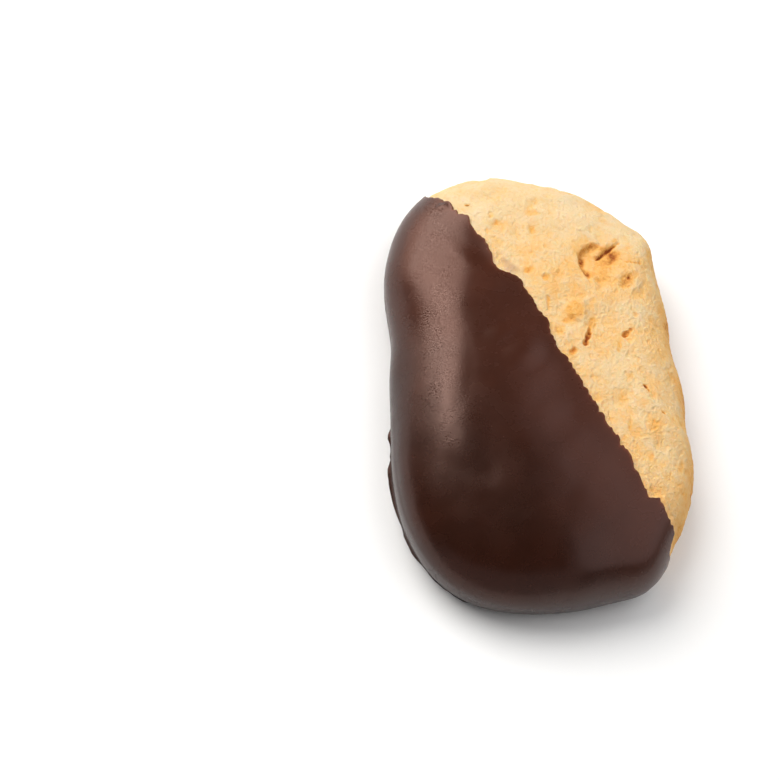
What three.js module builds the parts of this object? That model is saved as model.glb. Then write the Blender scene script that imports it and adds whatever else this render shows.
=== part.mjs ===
// A shortbread biscuit, dipped aslant in dark chocolate and lying on its underside.
// Millimetres, +Z up, +Y along the biscuit. The origin is on the surface it lies on, under its box's middle.
import * as THREE from "three";

const { lerp, clamp, degToRad, radToDeg, smootherstep, smoothstep } = THREE.MathUtils;

// The baked biscuit: overall length, plan outline and the profile of its edge.
const LENGTH = 60.5;
const OUTLINE_SHARES = [
  0.607, 0.583, 0.735, 0.935, 0.964, 1.092, 0.905, 0.637,
  0.616, 0.667, 0.862, 1.062, 0.981, 0.967, 0.868, 0.655,
]; // of half the length, at even angles anticlockwise from +X, for a smooth curve drawn by them
const CORNERS = [
  { angle: 56, spread: 6, rise: 1.7, low: -0.5 }, // a crumb that stands out of the upper edge
  { angle: 295, spread: 8, rise: 1.1, low: -2 },
]; // in degrees, with the tilt above which each stands out
const CORNER_EASE = 0.8; // of tilt, over which it comes out
const WIDEST_HEIGHT = 4.6; // of the side's fullest line above the base
const RIM_HEIGHT = 11; // where the rounded edge runs out into the top
const DOME_RISE = 1.2; // of the middle above the rim
const TOP_ROUND = 9.6; // reach of the rounded edge in from the side, above the fullest line
const EDGE_POWER = 3; // 2 for an ellipse; more runs out into the top without a crease
const SLUMPS = [
  { heading: 222, start: 17.5, knee: 2.5, slope: 0.4 }, // the dipped end
  { heading: 173, start: 13.3, knee: 1.5, slope: 0.28 }, // its shoulder
]; // the top slopes down this way in plan, past a knee this far from the middle, which bends this gently
const SLUMP_LIMIT = 3.5; // that it never drops by quite
const BASE_ROUND = 3; // reach of the rounded edge below the fullest line

// Relief of the bare crumb: soft lumps, and the pits and flakes that break the top.
const LUMPS = [
  { span: 6, rise: 0.35 },
  { span: 2.6, rise: 0.16 },
];
const RELIEF_START = 0.2; // distance from the chocolate's edge where the relief begins
const RELIEF_FULL = 1.6; // and where it reaches its height
const PITS = [
  { x: 6.9, y: 15.1, long: 4.5, wide: 3.8, turn: -25, deep: 1 }, // hollow under the flake
  { x: 7.5, y: 18, long: 3.8, wide: 1.5, turn: 41, deep: -0.5 }, // the flake itself
  { x: 10.4, y: 13.4, long: 1.7, wide: 1.5, turn: 70, deep: 0.8 },
  { x: 2.9, y: 7.9, long: 2.4, wide: 1.9, turn: 40, deep: -0.35 }, // a raised crumb
  { x: 4.4, y: 4.3, long: 1.9, wide: 1.1, turn: 62, deep: 0.9 },
  { x: 2.3, y: 1.9, long: 1.5, wide: 1.1, turn: 50, deep: 0.6 },
  { x: 9.9, y: 5.2, long: 1.5, wide: 1.1, turn: 40, deep: 0.6 },
  { x: -0.8, y: 12.4, long: 1.4, wide: 1.1, turn: 60, deep: 0.4 },
];

// The dip: the way the biscuit went into the chocolate, and how far the chocolate climbed.
const DIP_HEADING = 210; // degrees, in plan
const DIP_OFFSET = -0.8; // of the chocolate's edge from the middle, along that heading
const EDGE_WANDER = [
  [-28, 0.2], [-26, -1.5], [-23.6, -1.1], [-22.1, -1.2], [-21.3, 0.1], [-18, -0.7],
  [-9, -0.6], [0, -0.4], [7, -1.2], [12.6, -1.4], [15.3, 0.4], [19.3, -0.2],
  [23.6, -0.2], [24.9, 0.6], [26.6, 0.2], [28, 0.9],
]; // [place along the edge, shift along the heading], seen from above
const EDGE_JAG = { span: 3, reach: 0.3 };

// The chocolate coat, which stands a hair clear of the biscuit so that the two solids never cut.
const COAT = 1.1; // thickness over the top and sides
const UNDER_COAT = 0.6; // and underneath, where the biscuit presses it thin
const COAT_GAP = 0.25;
const LIP = 0.3; // thickness at its edge
const LIP_RUN = 14; // distance over which it thickens
const EDGE_SPARE = 1.2; // that distance counts from here, before the edge
const COAT_SWELLS = [
  { x: -14, y: -1, long: 7, wide: 2.6, turn: 90, deep: -0.12 }, // along the shoulder
  { x: -4.3, y: 1, long: 4, wide: 3, turn: 45, deep: -0.15 },
];
const SWELL_RUN = 5; // distance over which they come in
const FOOT = 1.9; // how far the set chocolate spreads where it meets the surface
const FOOT_EXTRA = 1.7; // and further where the biscuit slid a little as it set
const FOOT_EXTRA_ANGLE = 195;
const FOOT_EXTRA_SPREAD = 45;
const FOOT_HEIGHT = 0.7;
const FOOT_RUN = 5; // distance from the coat's edge over which the foot builds up
const SAG_RUN = 5; // distance from the coat's edge over which the bare underside comes down level with it

// How finely the surfaces are divided.
const TOP_COLUMNS = 48;
const BASE_COLUMNS = 22;
const BARE_ROWS = 34;
const DIPPED_ROWS = 12;
const COAT_ROWS = 22;
const CURVE_STEPS = 400; // for measuring lengths along a curve
const HALVINGS = 40; // for finding the chocolate's edge
const NORMAL_STEP = 0.01; // of a direction, for the skin's slopes

// Ranges of a normal's upward part, over which things change from the underside up to the top.
const RELIEF_COMES_IN = [-0.7, 0];
const COAT_THICKENS = [-1, -0.3];
const SWELL_COMES_IN = [0, 0.6];

const UP = new THREE.Vector3(0, 0, 1);
const DIP_AXIS = new THREE.Vector3(Math.cos(degToRad(DIP_HEADING)), Math.sin(degToRad(DIP_HEADING)), 0);
const ACROSS = new THREE.Vector3().crossVectors(DIP_AXIS, UP);

// Repeatable noise from -1 to 1, with about one swell to a unit.
function latticeValue(i, j) {
  const wave = Math.sin(i * 127.1 + j * 311.7) * 43758.5453;
  return 2 * (wave - Math.floor(wave)) - 1;
}

function noise(x, y) {
  const i = Math.floor(x);
  const j = Math.floor(y);
  const u = smootherstep(x - i, 0, 1);
  const v = smootherstep(y - j, 0, 1);
  const near = lerp(latticeValue(i, j), latticeValue(i + 1, j), u);
  const far = lerp(latticeValue(i, j + 1), latticeValue(i + 1, j + 1), u);
  return lerp(near, far, v);
}

function sumOf(list, valueOf) {
  return list.reduce((total, item) => total + valueOf(item), 0);
}

// Difference of an angle in radians from one in degrees, in degrees from -180 to 180.
function degreesFrom(angle, degrees) {
  return THREE.MathUtils.euclideanModulo(radToDeg(angle) - degrees + 180, 360) - 180;
}

// Smooth curve drawn by evenly spaced values, round and round.
function periodicCurve(values, position) {
  const n = values.length;
  const i = Math.floor(position);
  const t = position - i;
  const [a, b, c, d] = [-1, 0, 1, 2].map((k) => values[(((i + k) % n) + n) % n]);
  const near = (1 - t) ** 3 * a + (4 - 6 * t ** 2 + 3 * t ** 3) * b;
  const far = (1 + 3 * t + 3 * t ** 2 - 3 * t ** 3) * c + t ** 3 * d;
  return (near + far) / 6;
}

// Value at a place among [place, value] pairs, eased from each pair to the next.
function easedCurve(pairs, place) {
  return pairs.slice(1).reduce(
    (value, [end, next], i) => lerp(value, next, smoothstep(place, pairs[i][0], end)),
    pairs[0][1],
  );
}

// The smooth skin of the biscuit.
function outlineRadius(angle) {
  const position = (angle / (2 * Math.PI)) * OUTLINE_SHARES.length;
  return (LENGTH / 2) * periodicCurve(OUTLINE_SHARES, position);
}

function cornerRise(angle, tilt) {
  return sumOf(CORNERS, (corner) => {
    const off = degreesFrom(angle, corner.angle) / corner.spread;
    return corner.rise * Math.exp(-(off ** 2)) * smoothstep(tilt, corner.low, corner.low + CORNER_EASE);
  });
}

// How much of the top's height is left where the dipped part slopes away.
function slumpShare(x, y) {
  const sloped = sumOf(SLUMPS, ({ heading, start, knee, slope }) => {
    const turn = degToRad(heading);
    const past = x * Math.cos(turn) + y * Math.sin(turn) - start;
    return (slope * (past + Math.hypot(past, knee))) / 2;
  });
  const drop = SLUMP_LIMIT * (1 - Math.exp(-sloped / SLUMP_LIMIT));
  return 1 - drop / (RIM_HEIGHT - WIDEST_HEIGHT);
}

function topHeight(inset, share) {
  const short = 1 - Math.min(inset / TOP_ROUND, 1);
  const edge = (RIM_HEIGHT - WIDEST_HEIGHT) * Math.sqrt(1 - short ** EDGE_POWER);
  return edge + DOME_RISE * (1 - share ** 2);
}

function baseHeight(inset) {
  const short = 1 - Math.min(inset / BASE_ROUND, 1);
  return WIDEST_HEIGHT * (1 - Math.sqrt(1 - short ** 2));
}

// The skin's point in a direction from the biscuit's middle.
function skin(direction) {
  const angle = Math.atan2(direction.y, direction.x);
  const tilt = Math.asin(clamp(direction.z, -1, 1)) / (Math.PI / 2);
  const reach = outlineRadius(angle) + cornerRise(angle, tilt);
  const inset = reach * tilt ** 2;
  const radius = reach - inset;
  const x = radius * Math.cos(angle);
  const y = radius * Math.sin(angle);
  const top = WIDEST_HEIGHT + topHeight(inset, radius / reach) * slumpShare(x, y);
  return new THREE.Vector3(x, y, tilt > 0 ? top : baseHeight(inset));
}

// The skin's outward normal, from its slopes either way of a direction.
function skinNormal(direction) {
  const side = new THREE.Vector3().crossVectors(direction, Math.abs(direction.z) < 0.9 ? UP : DIP_AXIS);
  side.setLength(NORMAL_STEP);
  const rise = new THREE.Vector3().crossVectors(side, direction).setLength(NORMAL_STEP);
  const slope = (way) => {
    const ahead = skin(direction.clone().add(way).normalize());
    return ahead.sub(skin(direction.clone().sub(way).normalize()));
  };
  return slope(rise).cross(slope(side)).normalize();
}

// Directions are laid out round the dip axis: polar from its dipped end, around from the long way across.
function directionAt(polar, around) {
  const ring = ACROSS.clone().multiplyScalar(Math.cos(around)).addScaledVector(UP, Math.sin(around));
  return DIP_AXIS.clone().multiplyScalar(Math.cos(polar)).addScaledVector(ring, Math.sin(polar));
}

// Parameters from start to end, spaced evenly along the curve that pointAt draws.
function evenSteps(pointAt, start, end, count) {
  const lengths = [0];
  let last = pointAt(start);
  for (let i = 1; i <= CURVE_STEPS; i++) {
    const point = pointAt(lerp(start, end, i / CURVE_STEPS));
    lengths.push(lengths[i - 1] + point.distanceTo(last));
    last = point;
  }
  return Array.from({ length: count }, (_, k) => {
    const wanted = (lengths[CURVE_STEPS] * k) / count;
    const i = lengths.findIndex((length) => length > wanted);
    const part = (wanted - lengths[i - 1]) / (lengths[i] - lengths[i - 1]);
    return lerp(start, end, (i - 1 + part) / CURVE_STEPS);
  });
}

// The chocolate's edge, as the distance of a point past it, into the chocolate.
function depthInDip(point) {
  const along = point.dot(ACROSS);
  const wander = easedCurve(EDGE_WANDER, along) * clamp(point.z / RIM_HEIGHT, 0, 1);
  const jag = EDGE_JAG.reach * noise(along / EDGE_JAG.span, point.z / EDGE_JAG.span + 5);
  return point.dot(DIP_AXIS) - DIP_OFFSET - wander - jag;
}

// Where that edge crosses a column, found by halving.
function edgePolar(around) {
  let dipped = 0;
  let bare = Math.PI;
  for (let i = 0; i < HALVINGS; i++) {
    const middle = (dipped + bare) / 2;
    if (depthInDip(skin(directionAt(middle, around))) > 0) dipped = middle;
    else bare = middle;
  }
  return dipped;
}

// Height of a hollow, which is below zero, or of a rise at a plan position.
function hollowAt({ x, y, long, wide, turn, deep }, point) {
  const [c, s] = [Math.cos(degToRad(turn)), Math.sin(degToRad(turn))];
  const u = ((point.x - x) * c + (point.y - y) * s) / long;
  const v = ((point.y - y) * c - (point.x - x) * s) / wide;
  return -deep * Math.max(0, 1 - u * u - v * v) ** 2;
}

function crumbRelief(point, normal) {
  const facingUp = smoothstep(normal.z, ...RELIEF_COMES_IN);
  const bare = smoothstep(-depthInDip(point), RELIEF_START, RELIEF_FULL);
  const lumps = sumOf(LUMPS, ({ span, rise }) =>
    rise * noise((point.x + point.z) / span, (point.y - point.z) / span));
  const pits = normal.z > 0 ? sumOf(PITS, (pit) => hollowAt(pit, point)) : 0;
  return bare * facingUp * (lumps + pits);
}

// The bare part of the underside is level with the coat's, so that the biscuit lies on both.
function sag(point) {
  const under = 1 - smoothstep(point.z, 0, WIDEST_HEIGHT);
  return (COAT_GAP + UNDER_COAT) * under * smoothstep(-depthInDip(point), 0, SAG_RUN);
}

// The coat's thickness over a point of the skin: thin at its edge, with slow swells on the top.
function coatThickness(point, normal) {
  const fromEdge = Math.max(0, point.dot(DIP_AXIS) - DIP_OFFSET + EDGE_SPARE);
  const full = lerp(UNDER_COAT, COAT, smoothstep(normal.z, ...COAT_THICKENS));
  const swelling = smoothstep(fromEdge, 0, SWELL_RUN) * smoothstep(normal.z, ...SWELL_COMES_IN);
  const swell = swelling * sumOf(COAT_SWELLS, (place) => hollowAt(place, point));
  return lerp(LIP, full, smoothstep(fromEdge, 0, LIP_RUN)) + swell;
}

// How far the chocolate's foot reaches out at an angle.
function footReach(angle) {
  const off = degreesFrom(angle, FOOT_EXTRA_ANGLE) / FOOT_EXTRA_SPREAD;
  return FOOT + FOOT_EXTRA * Math.exp(-(off ** 2));
}

function offsetSkin(direction, offsetAt) {
  const point = skin(direction);
  const normal = skinNormal(direction);
  return point.clone().addScaledVector(normal, offsetAt(point, normal));
}

function biscuitPoint(direction) {
  const point = offsetSkin(direction, crumbRelief);
  return point.setZ(point.z - sag(skin(direction)));
}

function coatInsidePoint(direction) {
  return offsetSkin(direction, () => COAT_GAP);
}

function coatOutsidePoint(direction) {
  const point = offsetSkin(direction, (place, normal) => COAT_GAP + coatThickness(place, normal));
  const angle = Math.atan2(point.y, point.x);
  const height = point.z + COAT_GAP + UNDER_COAT;
  const grown = Math.exp(-height / FOOT_HEIGHT) * smoothstep(depthInDip(point), 0, FOOT_RUN);
  const spread = 1 + (grown * footReach(angle)) / outlineRadius(angle);
  return new THREE.Vector3(point.x * spread, point.y * spread, point.z);
}

// A closed surface from one pole through rings of points to another pole.
function ringSolid(firstPole, rings, lastPole) {
  const columns = rings[0].length;
  const positions = [firstPole, ...rings.flat(), lastPole].flatMap((p) => p.toArray());
  const at = (row, column) => 1 + row * columns + (column % columns);
  const last = positions.length / 3 - 1;
  const faces = [];
  for (let c = 0; c < columns; c++) {
    faces.push(0, at(0, c + 1), at(0, c));
    for (let r = 0; r + 1 < rings.length; r++) {
      faces.push(at(r, c), at(r, c + 1), at(r + 1, c + 1));
      faces.push(at(r, c), at(r + 1, c + 1), at(r + 1, c));
    }
    faces.push(last, at(rings.length - 1, c), at(rings.length - 1, c + 1));
  }
  const geometry = new THREE.BufferGeometry();
  geometry.setAttribute("position", new THREE.Float32BufferAttribute(positions, 3));
  geometry.setIndex(faces);
  geometry.computeVertexNormals();
  return geometry;
}

// Columns run round the dip axis; rows step from the chocolate's edge to either end of it.
const middleLoop = (around) => skin(directionAt(Math.PI / 2, around));
const columns = [
  ...evenSteps(middleLoop, 0, Math.PI, TOP_COLUMNS),
  ...evenSteps(middleLoop, Math.PI, 2 * Math.PI, BASE_COLUMNS),
].map((around) => ({ around, edge: edgePolar(around) }));

function rowShares(end, count) {
  const start = edgePolar(Math.PI / 2);
  const topLine = (polar) => skin(directionAt(polar, Math.PI / 2));
  return evenSteps(topLine, start, end, count).map((polar) => (polar - start) / (end - start));
}

function rings(shares, end, pointAt) {
  return shares.map((share) =>
    columns.map(({ around, edge }) => pointAt(directionAt(lerp(edge, end, share), around))));
}

function shortbreadGeometry() {
  const dipped = rings(rowShares(0, DIPPED_ROWS), 0, biscuitPoint).reverse();
  const bare = rings(rowShares(Math.PI, BARE_ROWS).slice(1), Math.PI, biscuitPoint);
  return ringSolid(biscuitPoint(DIP_AXIS), [...dipped, ...bare], biscuitPoint(DIP_AXIS.clone().negate()));
}

function chocolateGeometry() {
  const outside = rings(rowShares(0, COAT_ROWS), 0, coatOutsidePoint).reverse();
  const inside = rings(rowShares(0, DIPPED_ROWS), 0, coatInsidePoint);
  return ringSolid(coatOutsidePoint(DIP_AXIS), [...outside, ...inside], coatInsidePoint(DIP_AXIS));
}

const shortbread = new THREE.Mesh(
  shortbreadGeometry(),
  new THREE.MeshStandardMaterial({ color: 0xf0c88c, roughness: 0.9, metalness: 0 }),
);
shortbread.name = "shortbread";

const chocolate = new THREE.Mesh(
  chocolateGeometry(),
  new THREE.MeshStandardMaterial({ color: 0x3a2018, roughness: 0.4, metalness: 0 }),
);
chocolate.name = "chocolate_coat";

// The biscuit stands on the middle of its box.
const biscuit = new THREE.Group();
biscuit.add(shortbread, chocolate);
const box = new THREE.Box3().setFromObject(biscuit);
const middle = box.getCenter(new THREE.Vector3());
shortbread.position.set(-middle.x, -middle.y, -box.min.z);
chocolate.position.copy(shortbread.position);

export default biscuit;
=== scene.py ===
# A shortbread biscuit dipped aslant in dark chocolate. Its shapes are in millimetres until they are meshed.
import math
from collections import namedtuple

import bpy
import numpy as np
from mathutils import Matrix, Vector


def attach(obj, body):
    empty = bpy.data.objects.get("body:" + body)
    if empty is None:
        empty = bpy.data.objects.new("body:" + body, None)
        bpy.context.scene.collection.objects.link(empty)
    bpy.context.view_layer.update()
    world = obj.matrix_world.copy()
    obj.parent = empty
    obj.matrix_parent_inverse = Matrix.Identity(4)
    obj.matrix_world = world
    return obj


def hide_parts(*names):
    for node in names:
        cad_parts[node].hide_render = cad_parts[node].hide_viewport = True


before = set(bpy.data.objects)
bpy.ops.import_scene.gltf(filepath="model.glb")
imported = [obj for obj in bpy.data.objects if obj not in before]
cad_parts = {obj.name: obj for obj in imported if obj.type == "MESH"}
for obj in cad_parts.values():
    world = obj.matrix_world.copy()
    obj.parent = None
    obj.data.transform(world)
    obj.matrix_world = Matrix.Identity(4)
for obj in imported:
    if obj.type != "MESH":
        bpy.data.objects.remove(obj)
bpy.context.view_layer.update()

MM = 0.001
Swell = namedtuple("Swell", "span rise")
Fade = namedtuple("Fade", "start end rise")
Patch = namedtuple("Patch", "x y wide long rise")
Corner = namedtuple("Corner", "angle spread rise low")
Slump = namedtuple("Slump", "heading start knee slope")
# A dent's place, half sizes, turn and depth, its colour (browning, and for a few dents painted shadow), how
# rounded its walls are, how far it fades out along its turn, and the wall that it starts with, which is
# steeper where this is below 1.
Dent = namedtuple("Dent", "x y long wide turn deep brown soft lean cliff", defaults=(0.0, 1.0, 0.0, 1.0))

# The baked biscuit: overall length, plan outline and the profile of its edge, as in the solid.
FRAME_SHIFT = np.array([0.72, 0.779, 0.85])  # of the biscuit's own middle and base from the part's origin
LENGTH = 60.5
OUTLINE_SHARES = np.array([
    0.607, 0.583, 0.735, 0.935, 0.964, 1.092, 0.905, 0.637,
    0.616, 0.667, 0.862, 1.062, 0.981, 0.967, 0.868, 0.655,
])  # of half the length, at even angles anticlockwise from +X, for a smooth curve drawn by them
CORNERS = [
    Corner(56, 6, 1.7, -0.5),  # crumb that stands out of the upper edge
    Corner(295, 8, 1.1, -2),
]  # angle and spread in degrees, and the tilt above which each stands out
CORNER_EASE = 0.8  # of tilt, over which it comes out
WIDEST_HEIGHT = 4.6
RIM_HEIGHT = 11
DOME_RISE = 1.2
TOP_ROUND = 9.6
EDGE_POWER = 3  # 2 for an ellipse; more runs out into the top without a crease
SLUMPS = [
    Slump(222, 17.5, 2.5, 0.4),  # the dipped end
    Slump(173, 13.3, 1.5, 0.28),  # its shoulder
]  # the top slopes down this way, past a knee this far from the middle
SLUMP_LIMIT = 3.5  # that it never drops by quite
BASE_ROUND = 3

# Relief of the bare crumb, from soft lumps to single grains.
LUMPS = [Swell(6, 0.35), Swell(2.6, 0.2)]
GRAINS = [Swell(1.2, 0.05), Swell(0.62, 0.04), Swell(0.38, 0.03)]
PITS = [Swell(1.9, 0.4), Swell(0.9, 0.2)]  # small torn pits, all over
PIT_START = 0.4  # of the noise that they are cut from
PIT_BEND = Swell(0.8, 0.35)  # of their outlines
RELIEF_RUN = (0.2, 1.6)  # from the chocolate's edge, where lumps and dents come in
SMALL_RUN = (-0.6, 0)  # where grains and small pits come in, just under the edge
RELIEF_FACING = (-0.7, 0)  # where relief comes in, by how far up the surface faces, 1 being straight up
DENT_FACING = (0.1, 0.5)
SAG_RUN = 5  # from the chocolate's edge, where the bare base comes down to the floor
RAGGED = [Swell(0.9, 0.45), Swell(0.4, 0.4)]  # unevenness of the dents' outlines
RAGGED_HALF = 0.5  # half width of a dent that has half of that unevenness
LEAN_RUN = (-0.6, 1)  # along a dent, as shares of its half length, where it fades out
CLIFF_RUN = (-0.9, -0.1)  # where its steep wall ends

# Dents of the top, and lumps where deep is below zero.
DENTS = [
    Dent(7.1, 15.1, 3.6, 3.6, -28, 0.85, 0, 1, 1, 0.28),  # broken hollow
    # Browned, and painted with the shadow that the hollow's cliff casts into its corner.
    Dent(4.3, 15.4, 1.2, 0.6, 80, 0.08, 0.42),  # its browned corner
    # Painted shade under the hollow's top edge.
    Dent(5.4, 17.5, 1.9, 0.9, 30, 0.03, 0.22),
    Dent(4.3, 13.1, 1.8, 0.45, -66, -0.16, -0.08),  # fold that runs on from it
    Dent(4.9, 13.2, 1.7, 0.45, -66, 0.2, 0.12),
    # Its top is painted paler, as painted light where light falls on it.
    Dent(7.6, 18.0, 2.9, 0.6, 40, -0.28, -0.1, 0.8),  # flake standing in it
    # Painted shadow under the flake, in the slit.
    Dent(8.0, 17.5, 2.9, 0.26, 40, 0.35, 0.62, 0.8),  # slit under the flake
    Dent(9.2, 19.2, 1.0, 0.5, 40, 0.05, 0.3),
    Dent(7.6, 16.4, 3.0, 2.2, 20, 0, 0.12),  # its darker floor
    # Painted shadow below the flake, in the recess beside the slit.
    Dent(8.9, 16.8, 1.3, 1.0, 60, 0.1, 0.32, 1.2),
    Dent(8.2, 15.7, 0.7, 0.3, 60, 0.1, 0.25),
    Dent(11.2, 15.9, 1.2, 0.17, 3, 0.12, 0.3),
    Dent(12.1, 16.0, 0.35, 0.25, 0, 0.15, 0.35),
    Dent(10.2, 13.0, 1.35, 1.1, 60, 0.3, 0.36, 0.7),  # round pit
    Dent(11.2, 13.9, 0.8, 0.6, 30, 0.08, 0.15),
    Dent(10.5, 13.5, 0.3, 0.2, 40, 0.12, 0.65),
    Dent(10.1, 13.1, 0.3, 0.2, 40, 0.12, 0.65),
    Dent(2.9, 7.9, 2.4, 1.9, 40, -0.4, 0.3, 0.9),  # smooth lump
    Dent(1.9, 6.5, 1.2, 0.7, 20, 0.1, 0.35),
    Dent(5.1, 9.1, 1.4, 0.8, 60, 0.12, 0.25),
    Dent(4.65, 5.2, 0.6, 0.28, 75, 0.35, 0.35),  # deep slit, in three
    Dent(4.5, 4.35, 0.9, 0.52, 70, 0.55, 0.75, 0.8),
    Dent(4.1, 3.3, 0.6, 0.48, 60, 0.4, 0.65, 0.8),
    Dent(5.2, 6.4, 1.3, 0.8, 70, 0.05, 0.3),
    Dent(2.3, 1.9, 0.85, 0.48, 50, 0.4, 0.35, 0.8),
    Dent(9.7, 5.1, 0.75, 0.5, 40, 0.45, 0.52, 0.8),
    Dent(10.4, 5.75, 0.7, 0.3, 43, 0.25, 0.3),
    Dent(8.7, 3.4, 1.2, 0.4, 80, 0.15, 0.3),
    Dent(11.2, 8.15, 0.55, 0.45, 60, 0.15, 0.3),
    Dent(-0.85, 12.4, 0.8, 0.5, 60, 0.2, 0.35),
    Dent(5.75, 20.5, 0.7, 0.4, 70, 0.12, 0.25),
    Dent(4.25, 22.5, 0.7, 0.4, 60, 0.12, 0.25),
    Dent(-8.3, 19.1, 0.6, 0.35, 70, 0.12, 0.25),
    Dent(-7.7, 21.8, 0.7, 0.5, 70, 0.1, 0.25),
    Dent(-7.0, 20.6, 0.6, 0.35, 60, 0.1, 0.25),
    Dent(-2.2, 22.4, 1.5, 0.7, 0, 0.1, 0.25),
    Dent(-2.3, 19.7, 0.9, 0.5, 80, 0.12, 0.25),
    Dent(-3.15, 13.4, 0.9, 0.6, 20, 0.17, 0.35),
    Dent(-0.65, 8.5, 1.3, 0.3, 90, 0.17, 0.3),
    Dent(0.35, 4.6, 1.8, 1.3, 30, 0.15, 0.3),
    Dent(-10.7, 23.4, 0.5, 0.2, 0, 0.25, 1.2),  # dark speck
    Dent(-7.65, 13.7, 0.7, 0.35, 80, 0.2, 0.45),
    Dent(11.8, -2.3, 0.45, 0.24, -35, 0.2, 0.6),  # dark crack
    Dent(12.15, -2.8, 0.35, 0.18, -50, 0.15, 0.35),
    Dent(14.15, -5.9, 0.4, 0.2, -20, 0.2, 0.5),
    Dent(9.6, -1.2, 1.1, 0.8, 30, 0.08, 0.22),
    Dent(12.6, -7.8, 1.5, 1.0, 20, 0.06, 0.17),
    Dent(13.7, -13.0, 1.4, 0.8, 60, 0.06, 0.16),
    Dent(14.4, -14.9, 1.1, 0.8, 30, 0.08, 0.2),
    Dent(16.4, -12.8, 1.3, 0.5, 70, 0.04, 0.2),
    Dent(12.0, -12.3, 0.9, 0.5, 80, 0.08, 0.22),
    Dent(9.4, -8.1, 1.0, 0.4, 80, 0.1, 0.22),
    Dent(8.4, -10.1, 0.7, 0.35, 70, 0.1, 0.25),
]

# How browned the crumb is, from 0 for the palest of its colours to 1 for the darkest; painted shade in
# dents, pits and between grains is added on the same scale.
BROWN = 0.27
# The dents' stains and painted shadows share these.
STAIN_AND_SHADE_RAGGED = 1.3  # of the dents' unevenness, for their stains
STAIN_AND_SHADE_POWER = 1.5  # which gathers them towards the dents' middles
# Dents' walls are painted darker: partly browning, partly painted shade and warm bounce light in them.
WALL_BROWN_AND_SHADE = 0.35  # of a dent's walls, to a millimetre of its depth
WALL_POWER = 3  # which gathers it half way down them
# Painted shade: pits are painted darker by their depth, and grains paler on top and darker between, by
# their height.
PIT_PAINTED_SHADE = 0.7  # to a millimetre of depth
GRAIN_PAINTED_SHADE = 0.4  # to a millimetre of height
CLOUDS = [Swell(4.5, 0.1), Swell(1.7, 0.1)]
RIM_BROWN = 0.38
RIM_FACING = (0.95, 0.3)  # where the rim starts, and where it is full
RIM_LEAST = 0.15  # of it, on the dipped side
RIM_ACROSS = Fade(-5, 12, 0.85)  # how it grows from there
RIM_DOWN = Fade(-2, -12, -0.5)  # and lessens down the biscuit
BASE_BROWN = Fade(6, 0, 0.1)
LOW_BROWN = Fade(0, -20, 0.09)
HIGH_PALE = Fade(15, 25, -0.16)
HOLLOW_BROWN = Patch(8, 13, 7, 9, 0.07)  # around the broken hollow
SMEAR = Dent(-5.5, 14.1, 2.4, 1.7, -25, 0)  # film of chocolate on the crumb
SMEAR_RAGGED = Swell(0.7, 0.9)
SMEAR_FULL = 2.4

# The dip and the edge of the chocolate.
DIP_HEADING = 210
DIP_OFFSET = -0.8
EDGE_WANDER = [
    (-28, 0.2), (-26, -1.5), (-23.6, -1.1), (-22.1, -1.2), (-21.3, 0.1), (-18, -0.7),
    (-9, -0.6), (0, -0.4), (7, -1.2), (12.6, -1.4), (15.3, 0.4), (19.3, -0.2),
    (23.6, -0.2), (24.9, 0.6), (26.6, 0.2), (28, 0.9),
]  # places along the edge, and how far it draws back there
EDGE_JAG = Swell(3, 0.3)
TEETH = [Swell(2.1, 0.25), Swell(1.3, 0.12), Swell(0.45, 0.17)]  # bends, lobes and nicks
LOBE_NOTCH = 3  # depth of the notches between lobes, to a lobe's rise
TEETH_VARY = Swell(4, 0.6)

# The chocolate coat.
COAT = 1.35  # thickness over the top and sides
UNDER_COAT = 0.85  # thickness underneath
COAT_FACING = (-1, -0.3)  # where one gives way to the other
LIP = 0.45  # thickness at its edge
LIP_ROUND = 0.16
LIP_RUN = 14  # distance over which the coat thickens
EDGE_SPARE = 1.2  # before the edge, where it starts to
SINK = 0.3  # depth of its edge in the crumb; its inner side is twice as deep
SIDE_THIN = 0.35  # that the coat's near side is thinner by, above its foot
SIDE_THIN_ANGLE = 216
SIDE_THIN_SPREAD = 22
SIDE_FROM = (-0.8, -0.2)  # where the side starts, by how far up it faces
SIDE_TO = (0.2, 0.7)  # and where it ends
SWELL_RUN = 5  # distance over which the swells come in
SWELL_FACING = (0, 0.6)
COAT_SWELLS = [
    Dent(-14.8, -1, 8, 3.8, 90, -0.25, 0, 2),  # along the shoulder
    Dent(-7.6, 3, 3, 2, 30, -0.12, 0, 2),  # bump on the top
    Dent(-4.3, 1, 4, 3, 45, -0.15, 0, 2),
    Dent(-11.9, -12.4, 3.6, 2.6, 60, -0.07, 0, 2),  # where the sheen ends
]
EDGE_SWELLS = [
    Dent(-10.2, 17.0, 5.4, 3.3, -62, 0.26, 0, 2),  # its top end thins towards the crumb
    Dent(-14.0, 22.0, 1.1, 0.7, 10, 0.08, 0, 1.5),  # shallow groove
    Dent(-13.7, 22.9, 0.9, 0.8, 20, -0.18, 0, 1.5),  # rounded lobe
]
EDGE_SWELL_RUN = 0.2
COAT_WAVES = [Swell(6.5, 0.13), Swell(2.6, 0.025)]
WAVE_FACING = (-0.9, 0)
FOOT = 2.2  # that its foot spreads by
FOOT_EXTRA = 2.1  # where the biscuit slid a little as it set
FOOT_EXTRA_ANGLE = 200
FOOT_EXTRA_SPREAD = 45
FOOT_HEIGHT = 0.5  # over which it falls away
FOOT_RUN = 5  # from the chocolate's edge, where it comes in
FOOT_MEAN = 0.85  # share of its spread that it has on the whole
FOOT_RAGGED = [Swell(1 / 14, 0.1), Swell(1 / 40, 0.02)]  # with spans in radians

# How the chocolate varies over the coat, with painted shade that darkens it down the biscuit.
LIP_GLOW = 0.45  # how much redder it is at its thin lip
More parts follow.
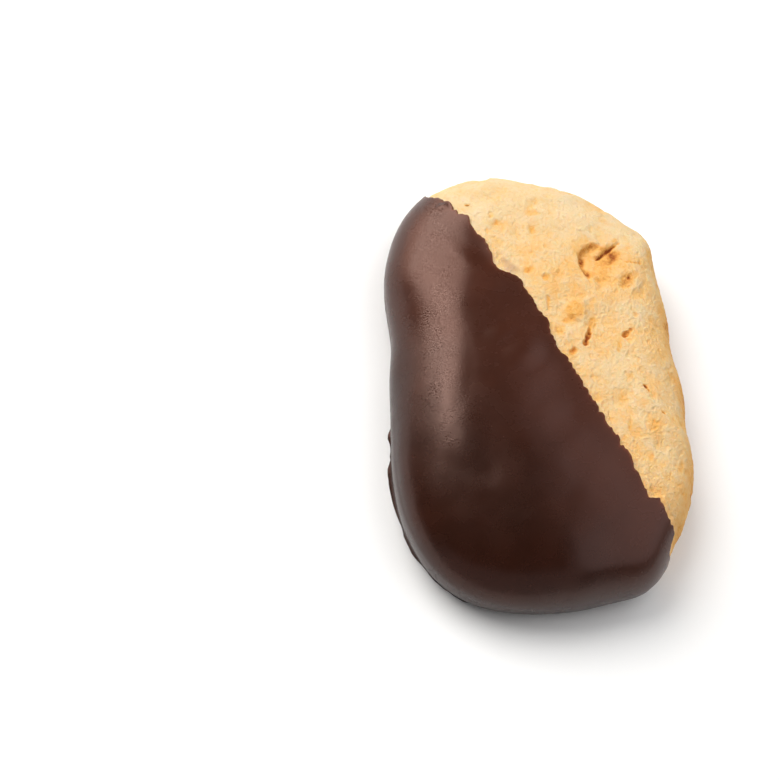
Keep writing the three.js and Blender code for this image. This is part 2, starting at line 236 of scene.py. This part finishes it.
# Partly the coat's thickness, partly painted shade: darker farther from the edge, and farther still down
# the biscuit, where less light falls.
THICK_AND_PAINTED_SHADE = Fade(4, 22, -0.37)  # how much darker it is farther from the edge
PAINTED_SHADE_SLANT = 0.25  # that this counts as farther, to a millimetre down the biscuit
GRAIN_PLACE = -15  # across the biscuit, of the shoulder where the crumb's grain shows through
GRAIN_SPREAD = 2.8
GRAIN_FROM = (-16, -10)  # along the biscuit
GRAIN_PATCHES = Swell(1.5, 0.5)
GRAIN_MEAN = 0.6
GRAIN_MOST = 1.2
GRAIN_LEAST = 0.07  # all over the coat

# How finely the surfaces are divided.
TOP_COLUMNS = 360
BASE_COLUMNS = 50
BARE_ROWS = 228
DIPPED_ROWS = 12
COAT_ROWS = 180
INNER_ROWS = 8
COAT_CROWDING = 1.25  # of the coat's rows towards its edge
CURVE_STEPS = 2000  # on a curve whose length is measured
HALVINGS = 40  # by which the edge is found
NORMAL_STEP = 0.004  # of direction, over which the skin's slope is taken
STEEP = 0.9  # directions that point up or down more than this need another axis to turn about

# The crumb's material: colours from pale to dark brown, and the grain that shades it, with painted shade in
# its gaps.
CRUMB_COLOURS = [
    (0.0, (0.735, 0.57, 0.345)),
    (0.25, (0.735, 0.52, 0.27)),
    (0.45, (0.765, 0.46, 0.175)),
    (0.65, (0.75, 0.38, 0.095)),
    (0.85, (0.56, 0.22, 0.04)),
    (1.0, (0.28, 0.065, 0.008)),
]
SMEAR_COLOUR = (0.5, 0.29, 0.16, 1)
CRUMB_GRAIN = 0.5
CRUMB_GAPS = Swell(0.34, 0.35)  # hollows between the grains
GAP_MEAN = 0.45
# Painted shade in the gaps between the grains.
GAP_PAINTED_SHADE = 0.4
CRUMB_PATCHES = Swell(1.8, 0.4)
CRUMB_BUMP = 0.24
CRUMB_DEPTH = 0.6  # that light goes into it
NOISE_MEAN = 0.5

# The chocolate's material: shades from thick to thin, which also carry painted shade, and how its gloss
# varies.
CHOCOLATE_SHADES = [
    (0.0, (0.01, 0.0026, 0.0011)),
    (0.25, (0.021, 0.005, 0.002)),
    (0.6, (0.042, 0.0102, 0.0043)),
    (0.75, (0.056, 0.0135, 0.0057)),
    (1.0, (0.15, 0.035, 0.014)),
]
SHADE_MEAN = 0.595
HAZE = Swell(6, 0.35)
ROUGHNESS_MEAN = 0.27
ROUGHNESS_PATCHES = Swell(2.5, 0.1)
GLOSS = 0.52
GLANCING_LOSS = 0.45  # of gloss, where the coat is seen edge on
SPECKS = Swell(0.2, 1.3)  # of gloss, where grain shows through
GRAIN_BUMP = Swell(0.22, 0.04)

# The view: the camera's place round a point of the biscuit, and where in the picture that point falls.
VIEW_DISTANCE = 400
VIEW_TURN = -27.5  # from the front, anticlockwise seen from above
VIEW_HEIGHT = 60  # in degrees, as are its turn and roll
VIEW_ROLL = 28
VIEW_CENTRE = np.array([-1.0, -1.6])  # the biscuit's own middle, from that point
PICTURE_PIXELS = 780
PIXELS_PER_MM = 7.5
MIDDLE_PIXEL = (540.3, 396)
SENSOR = 36

# The studio: a floor, and a surround that is pale low down, as the floor runs on, and dim above.
WARM = (1.06, 1, 0.92)
COOL = (1, 1, 1.05)
SURROUND = [(0.1, (0.5, 0.5, 0.5)), (0.3, (0.05, 0.05, 0.05))]
FLOOR_REACH = 2000
FLOOR_COLOUR = (0.92, 0.92, 0.92, 1)

UP = np.array([0.0, 0.0, 1.0])
HEADING = math.radians(DIP_HEADING)
DIP_AXIS = np.array([math.cos(HEADING), math.sin(HEADING), 0.0])
ACROSS = np.cross(DIP_AXIS, UP)
ASKEW = np.array(Matrix.Rotation(0.9, 3, Vector((1, 2, 3)).normalized()))  # turns the noise off the axes
HASH_WEIGHTS = (127.1, 311.7, 74.7)
HASH_SCALE = 43758.5453


def ease(x, low, high):
    t = np.clip((x - low) / (high - low), 0, 1)
    return t * t * (3 - 2 * t)


def fade_in(fade, x):
    return fade.rise * ease(x, fade.start, fade.end)


def bell(x, spread):
    return np.exp(-((x / spread) ** 2))


def unit(vector):
    return vector / np.linalg.norm(vector, axis=-1, keepdims=True)


def soft_step(t):
    return t * t * t * (t * (6 * t - 15) + 10)


def lattice_value(*cell):
    wave = np.sin(sum(c * k for c, k in zip(cell, HASH_WEIGHTS))) * HASH_SCALE
    return 2 * (wave - np.floor(wave)) - 1


# Repeatable noise from -1 to 1, with about one swell to a unit, in as many directions as it is given.
def noise(*place):
    cell = [np.floor(p) for p in place]
    share = [soft_step(p - c) for p, c in zip(place, cell)]
    total = 0
    for corner in range(2 ** len(place)):
        bits = [(corner >> k) & 1 for k in range(len(place))]
        weight = 1
        for bit, t in zip(bits, share):
            weight = weight * (t if bit else 1 - t)
        total = total + weight * lattice_value(*(c + bit for c, bit in zip(cell, bits)))
    return total


def solid_noise(point, span, seed=0):
    turned = point @ ASKEW
    return noise(*(turned[..., k] / span + seed * (k + 1) for k in range(3)))


def line_noise(place, span, seed=0):
    return noise(place / span, np.full_like(place, seed))


def eased_curve(pairs, place):
    value = pairs[0][1]
    for (start, _), (end, after) in zip(pairs, pairs[1:]):
        value = value + (after - value) * ease(place, start, end)
    return value


# The smooth skin of the biscuit, whose outline is a cubic spline with weights that add up to 6.
def outline_radius(angle):
    count = len(OUTLINE_SHARES)
    position = angle / (2 * np.pi) * count
    i = np.floor(position).astype(int)
    t = position - i
    before, start, end, after = (OUTLINE_SHARES[(i + k) % count] for k in (-1, 0, 1, 2))
    near = (1 - t) ** 3 * before + (4 - 6 * t**2 + 3 * t**3) * start
    far = (1 + 3 * t + 3 * t**2 - 3 * t**3) * end + t**3 * after
    return LENGTH / 2 * (near + far) / 6


def corner_rise(angle, tilt):
    turned = np.degrees(angle) % 360
    rise = 0
    for corner in CORNERS:
        out = ease(tilt, corner.low, corner.low + CORNER_EASE)
        rise = rise + corner.rise * bell(turned - corner.angle, corner.spread) * out
    return rise


# How much of the top's height is left where the dipped end slopes away.
def slump_share(x, y):
    sloped = 0
    for slump in SLUMPS:
        heading = math.radians(slump.heading)
        past = x * math.cos(heading) + y * math.sin(heading) - slump.start
        sloped = sloped + slump.slope * (past + np.hypot(past, slump.knee)) / 2
    drop = SLUMP_LIMIT * (1 - np.exp(-sloped / SLUMP_LIMIT))
    return 1 - drop / (RIM_HEIGHT - WIDEST_HEIGHT)


def top_height(inset, share):
    short = 1 - np.minimum(inset / TOP_ROUND, 1)
    edge = (RIM_HEIGHT - WIDEST_HEIGHT) * np.sqrt(1 - short**EDGE_POWER)
    return edge + DOME_RISE * (1 - share**2)


def base_height(inset):
    short = 1 - np.minimum(inset / BASE_ROUND, 1)
    return WIDEST_HEIGHT * (1 - np.sqrt(1 - short**2))


def skin(way):
    angle = np.arctan2(way[..., 1], way[..., 0])
    tilt = np.arcsin(np.clip(way[..., 2], -1, 1)) / (np.pi / 2)
    reach = outline_radius(angle) + corner_rise(angle, tilt)
    inset = reach * tilt**2
    radius = reach - inset
    x = radius * np.cos(angle)
    y = radius * np.sin(angle)
    top = WIDEST_HEIGHT + top_height(inset, radius / reach) * slump_share(x, y)
    return np.stack([x, y, np.where(tilt > 0, top, base_height(inset))], -1)


def skin_normal(way):
    reference = np.where(np.abs(way[..., 2:]) < STEEP, UP, DIP_AXIS)
    side = unit(np.cross(way, reference)) * NORMAL_STEP
    rise = np.cross(side, way)
    along_rise = skin(unit(way + rise)) - skin(unit(way - rise))
    along_side = skin(unit(way + side)) - skin(unit(way - side))
    return unit(np.cross(along_rise, along_side))


# Directions are laid out round the dip axis: polar from its dipped end, around from the long way across.
def ways_at(polar, around):
    ring = np.cos(around)[..., None] * ACROSS + np.sin(around)[..., None] * UP
    return np.cos(polar)[..., None] * DIP_AXIS + np.sin(polar)[..., None] * ring


def lengths_along(points):
    steps = np.linalg.norm(np.diff(points, axis=0), axis=1)
    return np.concatenate([[0], np.cumsum(steps)])


def even_steps(point_at, start, end, shares):
    parameters = np.linspace(start, end, CURVE_STEPS + 1)
    lengths = lengths_along(point_at(parameters))
    return np.interp(shares * lengths[-1], lengths, parameters)


# Distance of a point past the chocolate's edge, into the chocolate.
def depth_in_dip(point, teeth):
    along = point @ ACROSS
    wander = eased_curve(EDGE_WANDER, along) * np.clip(point[..., 2] / RIM_HEIGHT, 0, 1)
    broad = EDGE_JAG.rise * noise(along / EDGE_JAG.span, point[..., 2] / EDGE_JAG.span + 5)
    return point @ DIP_AXIS - DIP_OFFSET - wander - broad - teeth


def edge_polar(around, teeth):
    dipped = np.zeros_like(around)
    bare = np.full_like(around, np.pi)
    for _ in range(HALVINGS):
        middle = (dipped + bare) / 2
        inside = depth_in_dip(skin(ways_at(middle, around)), teeth) > 0
        dipped = np.where(inside, middle, dipped)
        bare = np.where(inside, bare, middle)
    return dipped


# The chocolate crept unevenly between the grains: slow bends, then lobes with sharp notches, then nicks.
def teeth_along(place):
    bends, lobes, nicks = TEETH
    slow = bends.rise * line_noise(place, bends.span, seed=3)
    lobed = lobes.rise * (1 - LOBE_NOTCH * np.abs(line_noise(place, lobes.span, seed=7)))
    nicked = nicks.rise * line_noise(place, nicks.span, seed=13)
    return slow + (lobed + nicked) * (1 + TEETH_VARY.rise * line_noise(place, TEETH_VARY.span, seed=17))


# How far a point is inside a dent, from 0 at its outline to 1, and how much of the dent is left there.
def dent_share(dent, point):
    turn = math.radians(dent.turn)
    x = point[..., 0] - dent.x
    y = point[..., 1] - dent.y
    along = (x * math.cos(turn) + y * math.sin(turn)) / dent.long
    across = (y * math.cos(turn) - x * math.sin(turn)) / dent.wide
    wall = dent.cliff + (1 - dent.cliff) * ease(along, *CLIFF_RUN)
    left = 1 - dent.lean * ease(along, *LEAN_RUN)
    return (1 - along * along - across * across) / wall, left


def dents_at(point):
    depth = np.zeros(point.shape[:-1])
    stains_and_shade = np.zeros_like(depth)
    wall_brown_and_shade = np.zeros_like(depth)
    ragged = sum(s.rise * solid_noise(point, s.span, seed=2) for s in RAGGED)
    for dent in DENTS:
        share, left = dent_share(dent, point)
        rough = ragged * RAGGED_HALF / (RAGGED_HALF + dent.wide)
        shape = ease(share + rough, 0, 1) ** dent.soft * left
        stain_and_shade_share = ease(share + STAIN_AND_SHADE_RAGGED * rough, 0, 1) * left
        wall = (4 * shape * (1 - shape)) ** WALL_POWER * left
        depth += dent.deep * shape
        stains_and_shade = np.maximum(stains_and_shade, dent.brown * stain_and_shade_share**STAIN_AND_SHADE_POWER)
        # Walls get browning and painted shade.
        wall_brown_and_shade += WALL_BROWN_AND_SHADE * max(0, dent.deep) * wall
    return depth, stains_and_shade + wall_brown_and_shade


def torn_pits(point):
    bend = np.stack([solid_noise(point, PIT_BEND.span, seed) for seed in (21, 22, 23)], -1)
    drawn = point + PIT_BEND.rise * bend
    depth = 0
    for seed, pit in enumerate(PITS, start=31):
        depth = depth + pit.rise * np.maximum(0, solid_noise(drawn, pit.span, seed) - PIT_START)
    return depth


# How browned the crumb is by its place alone.
def brown_by_place(point, normal):
    x, y, z = np.moveaxis(point, -1, 0)
    clouds = sum(s.rise * solid_noise(point, s.span, seed) for seed, s in enumerate(CLOUDS, start=7))
    rim = ease(normal[..., 2], *RIM_FACING) * (RIM_LEAST + fade_in(RIM_ACROSS, x))
    rim = rim * (1 + fade_in(RIM_DOWN, y))
    along = fade_in(LOW_BROWN, y) + fade_in(HIGH_PALE, y)
    spot = HOLLOW_BROWN.rise * bell(x - HOLLOW_BROWN.x, HOLLOW_BROWN.wide)
    spot = spot * bell(y - HOLLOW_BROWN.y, HOLLOW_BROWN.long)
    return BROWN + clouds + RIM_BROWN * rim + fade_in(BASE_BROWN, z) + along + spot


def crumb_surface(point, normal, depth):
    x, y, z = np.moveaxis(point, -1, 0)
    facing_up = ease(normal[..., 2], *RELIEF_FACING)
    on_top = ease(normal[..., 2], *DENT_FACING)
    shown = ease(-depth, *RELIEF_RUN)
    close = ease(-depth, *SMALL_RUN)
    lumps = sum(s.rise * noise((x + z) / s.span, (y - z) / s.span) for s in LUMPS)
    grains = sum(s.rise * solid_noise(point, s.span) for s in GRAINS)
    dents, stains_and_shade = dents_at(point)
    small = torn_pits(point) * close
    relief = shown * facing_up * (lumps - dents * on_top) - small
    relief += close * (grains * facing_up - (1 - facing_up) * np.abs(grains))
    surface = point + relief[..., None] * normal
    under = 1 - ease(z, 0, WIDEST_HEIGHT)
    surface[..., 2] -= FRAME_SHIFT[2] * under * ease(-depth, 0, SAG_RUN)
    surface[..., 2] = np.maximum(surface[..., 2], -FRAME_SHIFT[2])
    brown = brown_by_place(point, normal) + shown * on_top * stains_and_shade
    # Painted shade in the torn pits and between the grains, and paler paint on the grains' tops.
    return surface, brown + PIT_PAINTED_SHADE * small - GRAIN_PAINTED_SHADE * grains


def swells_at(swells, point, normal):
    rise = sum(-s.deep * np.maximum(0, dent_share(s, point)[0]) ** s.soft for s in swells)
    return rise * ease(normal[..., 2], *SWELL_FACING)


def full_thickness(point, normal):
    full = UNDER_COAT + (COAT - UNDER_COAT) * ease(normal[..., 2], *COAT_FACING)
    angle = np.degrees(np.arctan2(point[..., 1], point[..., 0])) % 360
    beside = ease(normal[..., 2], *SIDE_FROM) * (1 - ease(normal[..., 2], *SIDE_TO))
    return full - SIDE_THIN * beside * bell(angle - SIDE_THIN_ANGLE, SIDE_THIN_SPREAD)


def coat_surface(point, normal, depth):
    inside = np.maximum(depth, 0)
    from_edge = np.maximum(point @ DIP_AXIS - DIP_OFFSET + EDGE_SPARE, 0)
    lip = LIP * np.sqrt(1 - (1 - np.minimum(inside / LIP_ROUND, 1)) ** 2)
    body = lip + (full_thickness(point, normal) - LIP) * ease(from_edge, 0, LIP_RUN)
    waves = sum(s.rise * solid_noise(point, s.span, seed=3) for s in COAT_WAVES)
    waves = waves * ease(normal[..., 2], *WAVE_FACING)
    gentle = (swells_at(COAT_SWELLS, point, normal) + waves) * ease(from_edge, 0, SWELL_RUN)
    gentle = gentle + swells_at(EDGE_SWELLS, point, normal) * ease(inside, 0, EDGE_SWELL_RUN)
    thick = body + gentle - SINK * (1 - ease(inside, 0, LIP_ROUND))
    return with_foot(point + thick[..., None] * normal, depth)


def with_foot(point, depth):
    angle = np.arctan2(point[..., 1], point[..., 0])
    height = point[..., 2] + UNDER_COAT
    lobes, nicks = FOOT_RAGGED
    ragged = FOOT_MEAN + lobes.rise * line_noise(angle, lobes.span)
    ragged = ragged + nicks.rise * line_noise(angle, nicks.span, seed=4)
    spread = FOOT + FOOT_EXTRA * bell(np.degrees(angle) % 360 - FOOT_EXTRA_ANGLE, FOOT_EXTRA_SPREAD)
    foot = spread * ragged * np.exp(-height / FOOT_HEIGHT) * ease(depth, 0, FOOT_RUN)
    scale = 1 + foot / outline_radius(angle)
    return np.stack([point[..., 0] * scale, point[..., 1] * scale, point[..., 2]], -1)


# Columns round the dip axis, each with the place of the chocolate's edge on it.
def middle_loop(around):
    return skin(ways_at(np.full_like(around, np.pi / 2), around))


def shares_of(count):
    return np.arange(count) / count


around = np.concatenate([
    even_steps(middle_loop, 0, np.pi, shares_of(TOP_COLUMNS)),
    even_steps(middle_loop, np.pi, 2 * np.pi, shares_of(BASE_COLUMNS)),
])
plain_edge = edge_polar(around, 0)
teeth = teeth_along(lengths_along(skin(ways_at(plain_edge, around))))
edge = edge_polar(around, teeth)


# Rows from the chocolate's edge towards one end of the dip axis, as shares of the way there.
def row_shares(end, shares):
    start = float(edge_polar(np.array([np.pi / 2]), 0)[0])

    def top_line(polar):
        return skin(ways_at(polar, np.full_like(polar, np.pi / 2)))

    return (even_steps(top_line, start, end, shares) - start) / (end - start)


def grid(shares, end):
    polar = edge + (end - edge) * shares[:, None]
    ways = ways_at(polar, np.broadcast_to(around, polar.shape))
    point = skin(ways)
    return point, skin_normal(ways), depth_in_dip(point, teeth)


def pole(way):
    ways = way[None, None]
    point = skin(ways)
    return point, skin_normal(ways), depth_in_dip(point, 0)


# A closed mesh from one pole through rings of points to another pole.
def ring_mesh(name, first, rings, last):
    rows, columns, _ = rings.shape
    points = np.concatenate([first.reshape(1, 3), rings.reshape(-1, 3), last.reshape(1, 3)])
    index = 1 + np.arange(rows * columns).reshape(rows, columns)
    beside = np.roll(index, -1, axis=1)
    quads = np.stack([index[:-1], beside[:-1], beside[1:], index[1:]], -1).reshape(-1, 4)
    end = len(points) - 1
    faces = quads.tolist()
    faces += [[0, int(b), int(a)] for a, b in zip(index[0], beside[0])]
    faces += [[end, int(a), int(b)] for a, b in zip(index[-1], beside[-1])]
    mesh = bpy.data.meshes.new(name)
    mesh.from_pydata(((points + FRAME_SHIFT) * MM).tolist(), [], faces)
    mesh.shade_smooth()
    made = bpy.data.objects.new(name, mesh)
    bpy.context.scene.collection.objects.link(made)
    return made


# A value at every point of such a mesh, for its material to read.
def paint(piece, name, first, rings, last):
    values = np.concatenate([np.ravel(first), rings.ravel(), np.ravel(last)])
    layer = piece.data.attributes.new(name, "FLOAT", "POINT")
    layer.data.foreach_set("value", values.astype(np.float32))


near_pole = pole(DIP_AXIS)
far_pole = pole(-DIP_AXIS)
nothing = np.zeros(1)

# The biscuit: rows from under the chocolate, over its edge and on to the far side.
dipped_shares = row_shares(0, shares_of(DIPPED_ROWS))[::-1]
bare_shares = row_shares(np.pi, shares_of(BARE_ROWS))[1:]
crumb_grid = [np.concatenate(pair) for pair in zip(grid(dipped_shares, 0), grid(bare_shares, np.pi))]
crumb_point, crumb_normal, _ = crumb_grid
crumb, brown = crumb_surface(*crumb_grid)
near_crumb, near_brown_and_shade = crumb_surface(*near_pole)
far_crumb, far_brown_and_shade = crumb_surface(*far_pole)
biscuit = ring_mesh("shortbread_crumb", near_crumb, crumb, far_crumb)
# These values are browning and painted shade together.
paint(biscuit, "brown", near_brown_and_shade, brown, far_brown_and_shade)

smear_share, _ = dent_share(SMEAR, crumb_point)
smear_share = smear_share + SMEAR_RAGGED.rise * solid_noise(crumb_point, SMEAR_RAGGED.span, seed=4)
smear = ease(smear_share, 0, SMEAR_FULL) * (crumb_normal[..., 2] > 0)
paint(biscuit, "smear", nothing, smear, nothing)

# The chocolate: rows from its far end to its edge, then back under its skin, where the biscuit hides it.
coat_grid = grid(row_shares(0, shares_of(COAT_ROWS) ** COAT_CROWDING)[::-1], 0)
coat_point, coat_normal, coat_depth = coat_grid
inner_point, inner_normal, _ = grid(row_shares(0, shares_of(INNER_ROWS))[1:], 0)
inner = inner_point - 2 * SINK * inner_normal
outer = coat_surface(*coat_grid)
near_outer = coat_surface(*near_pole)
near_inner = near_pole[0] - 2 * SINK * near_pole[1]
chocolate = ring_mesh("chocolate_coat_skin", near_outer, np.concatenate([outer, inner]), near_inner)

hidden = np.zeros_like(inner[..., 0])
# Redder at the thin lip; darker farther in and down the biscuit, as painted shade.
glow = LIP_GLOW * np.exp(-np.maximum(coat_depth, 0) / LIP)
thinness_and_painted_shade = glow + fade_in(THICK_AND_PAINTED_SHADE, coat_depth - PAINTED_SHADE_SLANT * coat_point[..., 1])
paint(chocolate, "thinness_and_painted_shade", np.full(1, THICK_AND_PAINTED_SHADE.rise), np.concatenate([thinness_and_painted_shade, hidden]), nothing)

on_shoulder = bell(coat_point[..., 0] - GRAIN_PLACE, GRAIN_SPREAD) * (coat_normal[..., 2] > 0)
on_shoulder *= ease(coat_point[..., 1], *GRAIN_FROM)
patches = GRAIN_MEAN + GRAIN_PATCHES.rise * solid_noise(coat_point, GRAIN_PATCHES.span, seed=6)
graininess = GRAIN_LEAST + GRAIN_MOST * on_shoulder * patches
paint(chocolate, "grain", nothing, np.concatenate([graininess, hidden]), nothing)

for piece, node, slot in (
    (biscuit, "shortbread", "shortbread"),
    (chocolate, "chocolate_coat", "chocolate"),
):
    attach(piece, "root")
    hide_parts(node)


# What the materials are made with.
def set_values(node, values):
    for socket, value in values.items():
        node.inputs[socket].default_value = value


def new_material(name, values):
    made = bpy.data.materials.new(name)
    made.use_nodes = True
    shader = made.node_tree.nodes["Principled BSDF"]
    set_values(shader, values)
    return made, made.node_tree, shader


def add_node(tree, kind, values=None, **settings):
    made = tree.nodes.new(kind)
    for name, value in settings.items():
        setattr(made, name, value)
    set_values(made, values or {})
    return made


def ramp(tree, stops):
    made = add_node(tree, "ShaderNodeValToRGB")
    elements = made.color_ramp.elements
    while len(elements) < len(stops):
        elements.new(0.5)
    for element, (position, colour) in zip(elements, stops):
        element.position = position
        element.color = (*colour, 1)
    return made


def texture(tree, kind, output, values):
    made = add_node(tree, kind, values)
    coordinates = add_node(tree, "ShaderNodeTexCoord")
    tree.links.new(coordinates.outputs["Object"], made.inputs["Vector"])
    return made.outputs[output]


def noise_node(tree, span, detail=2):
    return texture(tree, "ShaderNodeTexNoise", "Fac", {"Scale": 1 / (span * MM), "Detail": detail})


def hollow_node(tree, span):
    return texture(tree, "ShaderNodeTexVoronoi", "Distance", {"Scale": 1 / (span * MM)})


def maths(tree, operation, first, second):
    made = add_node(tree, "ShaderNodeMath", operation=operation)
    for socket, value in zip(made.inputs, (first, second)):
        if isinstance(value, (int, float)):
            socket.default_value = value
        else:
            tree.links.new(value, socket)
    return made.outputs[0]


# A value's distance from its mean, times an amount.
def about(tree, value, mean, amount):
    return maths(tree, "MULTIPLY", maths(tree, "SUBTRACT", value, mean), amount)


def attribute(tree, name):
    return add_node(tree, "ShaderNodeAttribute", attribute_name=name).outputs["Fac"]


# Baked crumb: pale, browned by the mesh's own values, which hold painted shade too, and painted darker in
# the gaps between its grains as shade.
def crumb_material():
    material, tree, shader = new_material("shortbread crumb", {
        "Roughness": 0.8,
        "Specular IOR Level": 0.25,
        "Subsurface Weight": 0.3,
        "Subsurface Radius": (1.0, 0.5, 0.2),
        "Subsurface Scale": CRUMB_DEPTH * MM,
    })
    gaps = about(tree, hollow_node(tree, CRUMB_GAPS.span), GAP_MEAN, CRUMB_GAPS.rise)
    height = maths(tree, "SUBTRACT", noise_node(tree, CRUMB_GRAIN, 3), gaps)
    # Painted shade: the colour is darker where the grain's height is low.
    gap_shade = about(tree, height, NOISE_MEAN, -GAP_PAINTED_SHADE)
    broad = about(tree, noise_node(tree, CRUMB_PATCHES.span), NOISE_MEAN, CRUMB_PATCHES.rise)
    # The mesh's values hold browning and painted shade.
    level = maths(tree, "ADD", attribute(tree, "brown"), maths(tree, "ADD", gap_shade, broad))
    colours = ramp(tree, CRUMB_COLOURS)
    tree.links.new(level, colours.inputs["Fac"])
    filmed = add_node(tree, "ShaderNodeMix", {7: SMEAR_COLOUR}, data_type="RGBA")
    tree.links.new(attribute(tree, "smear"), filmed.inputs["Factor"])
    tree.links.new(colours.outputs["Color"], filmed.inputs[6])
    tree.links.new(filmed.outputs[2], shader.inputs["Base Color"])
    bump = add_node(tree, "ShaderNodeBump", {"Strength": 1.0, "Distance": CRUMB_BUMP * MM})
    tree.links.new(height, bump.inputs["Height"])
    tree.links.new(bump.outputs["Normal"], shader.inputs["Normal"])
    return material


# Dark chocolate: redder where thin, painted darker down the biscuit as shade, with an uneven gloss that the
# crumb's grain breaks up.
def chocolate_material():
    material, tree, shader = new_material("dark chocolate", {"Specular Tint": (1.0, 0.68, 0.61, 1)})
    haze = about(tree, noise_node(tree, HAZE.span), NOISE_MEAN, HAZE.rise)
    # The shade read from the mesh holds painted shade as well as thinness.
    shade = maths(tree, "ADD", maths(tree, "ADD", haze, SHADE_MEAN), attribute(tree, "thinness_and_painted_shade"))
    shades = ramp(tree, CHOCOLATE_SHADES)
    tree.links.new(shade, shades.inputs["Fac"])
    tree.links.new(shades.outputs["Color"], shader.inputs["Base Color"])
    rough = about(tree, noise_node(tree, ROUGHNESS_PATCHES.span, 3), NOISE_MEAN, ROUGHNESS_PATCHES.rise)
    tree.links.new(maths(tree, "ADD", rough, ROUGHNESS_MEAN), shader.inputs["Roughness"])
    glancing = add_node(tree, "ShaderNodeLayerWeight", {"Blend": 0.5}).outputs["Facing"]
    loss = maths(tree, "MULTIPLY", maths(tree, "POWER", glancing, 2), GLANCING_LOSS)
    grain = attribute(tree, "grain")
    specks = about(tree, noise_node(tree, SPECKS.span), NOISE_MEAN, grain)
    specks = maths(tree, "MULTIPLY", specks, SPECKS.rise)
    gloss = maths(tree, "ADD", maths(tree, "SUBTRACT", GLOSS, loss), specks)
    tree.links.new(gloss, shader.inputs["Specular IOR Level"])
    bump = add_node(tree, "ShaderNodeBump", {"Distance": GRAIN_BUMP.rise * MM})
    tree.links.new(noise_node(tree, GRAIN_BUMP.span), bump.inputs["Height"])
    tree.links.new(grain, bump.inputs["Strength"])
    tree.links.new(bump.outputs["Normal"], shader.inputs["Normal"])
    return material


biscuit.data.materials.append(crumb_material())
chocolate.data.materials.append(chocolate_material())

# The view.
elevation = math.radians(VIEW_HEIGHT)
turn = math.radians(VIEW_TURN)
roll = math.radians(VIEW_ROLL)
level = math.cos(elevation)
back = Vector((math.sin(turn) * level, -math.cos(turn) * level, math.sin(elevation)))
level_right = Vector((math.cos(turn), math.sin(turn), 0))
level_up = back.cross(level_right)
picture_right = level_right * math.cos(roll) + level_up * math.sin(roll)
picture_up = level_up * math.cos(roll) - level_right * math.sin(roll)
facing = Matrix((picture_right, picture_up, back)).transposed()
focal_pixels = VIEW_DISTANCE * PIXELS_PER_MM
half = PICTURE_PIXELS / 2
sight = Vector((MIDDLE_PIXEL[0] - half, half - MIDDLE_PIXEL[1], -focal_pixels)).normalized()
aside = sight.rotation_difference(Vector((0, 0, -1))).to_matrix()
target = Vector((*((FRAME_SHIFT[:2] - VIEW_CENTRE) * MM), 0))
camera = bpy.data.objects.new("camera", bpy.data.cameras.new("camera"))
camera.matrix_world = Matrix.Translation(target + back * VIEW_DISTANCE * MM) @ (facing @ aside).to_4x4()
camera.data.sensor_width = SENSOR
camera.data.lens = SENSOR * focal_pixels / PICTURE_PIXELS
bpy.context.scene.collection.objects.link(camera)
bpy.context.scene.camera = camera


# Lights face the origin. Bearings are degrees clockwise from +Y, seen from above.
def add_light(name, bearing, height, distance, size, power, colour=(1, 1, 1), shape="ELLIPSE"):
    data = bpy.data.lights.new(name, "AREA")
    data.shape = shape
    data.size, data.size_y = (s * MM for s in size)
    data.energy = power
    data.color = colour
    turn = math.radians(bearing)
    rise = math.radians(height)
    level = math.cos(rise)
    way = Vector((math.sin(turn) * level, math.cos(turn) * level, math.sin(rise)))
    made = bpy.data.objects.new(name, data)
    made.location = way * distance * MM
    made.rotation_mode = "QUATERNION"
    made.rotation_quaternion = way.to_track_quat("Z", "Y")
    bpy.context.scene.collection.objects.link(made)
    return made


for light in (
    add_light("key", 305, 50, 600, (560, 520), 3.4, (1.02, 1, 0.97)),
    add_light("fill", 80, 50, 600, (900, 800), 1.55),
    add_light("overhead", 330, 78, 600, (900, 900), 1.8),
    add_light("front", 215, 40, 600, (900, 900), 0.4),
):
    light.visible_glossy = False
for light in (
    add_light("shoulder sheen", 324, 36.5, 600, (590, 450), 4.0, WARM, "RECTANGLE"),
    add_light("flank sheen", 322.5, 8, 600, (570, 220), 0.68, (1.2, 0.9, 0.75), "RECTANGLE"),
    add_light("sheen's core", 303, 48, 590, (110, 200), 0.19, WARM),
    add_light("sheen's tail", 313, 64, 590, (300, 150), 0.36, WARM),
    add_light("front sheen", 197, 26, 600, (1000, 300), 0.35, COOL, "RECTANGLE"),
    add_light("end sheen", 93, 44, 600, (1330, 660), 2.3, COOL),
):
    light.visible_diffuse = False

# The surround.
world = bpy.data.worlds.new("studio")
world.use_nodes = True
tree = world.node_tree
direction = add_node(tree, "ShaderNodeSeparateXYZ")
tree.links.new(add_node(tree, "ShaderNodeTexCoord").outputs["Generated"], direction.inputs[0])
sweep = ramp(tree, SURROUND)
tree.links.new(direction.outputs["Z"], sweep.inputs["Fac"])
tree.links.new(sweep.outputs["Color"], tree.nodes["Background"].inputs["Color"])
bpy.context.scene.world = world

# The floor.
floor_mesh = bpy.data.meshes.new("floor")
reach = FLOOR_REACH * MM
corners = [(-reach, -reach, 0), (reach, -reach, 0), (reach, reach, 0), (-reach, reach, 0)]
floor_mesh.from_pydata(corners, [], [(0, 1, 2, 3)])
floor = bpy.data.objects.new("floor", floor_mesh)
bpy.context.scene.collection.objects.link(floor)
floor_material, _, _ = new_material("pale floor", {"Base Color": FLOOR_COLOUR, "Roughness": 0.9})
floor_mesh.materials.append(floor_material)
bpy.context.scene.view_settings.view_transform = "Standard"
